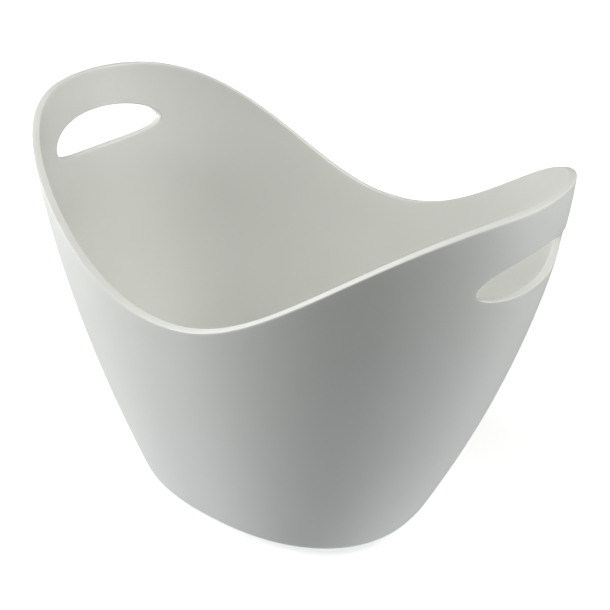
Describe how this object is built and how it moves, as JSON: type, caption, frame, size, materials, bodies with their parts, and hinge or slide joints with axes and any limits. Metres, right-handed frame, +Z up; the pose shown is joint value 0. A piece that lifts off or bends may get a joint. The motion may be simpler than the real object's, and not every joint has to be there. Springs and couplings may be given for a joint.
{
  "type": "newborn bath tub",
  "caption": "Deep oval bucket-style bath tub for a newborn, with a rim that rises to a hand-hold opening at each end, grip feet below and a soft lift-out floor pad.",
  "frame": {"origin": "on the ground under the middle of the tub", "axes": "+X along the length towards one hand-hold, +Y across the width, +Z up out of the open top"},
  "size_m": [0.4196, 0.2898, 0.3],
  "materials": {
    "tub_plastic": "satin white moulded plastic with a fine grain",
    "grip_rubber": "matte soft grip elastomer",
    "soft_pad": "matte closed-cell foam"
  },
  "bodies": {
    "tub": {"tub_shell": "tub_plastic", "foot_front_left": "grip_rubber", "foot_front_right": "grip_rubber", "foot_rear_left": "grip_rubber", "foot_rear_right": "grip_rubber"},
    "pad": {"floor_pad": "soft_pad"}
  },
  "joints": [
    {"name": "pad_lift", "type": "slide", "parent": "tub", "child": "pad", "axis": [0, 0, 1], "range_m": [0, 0.32]}
  ]
}
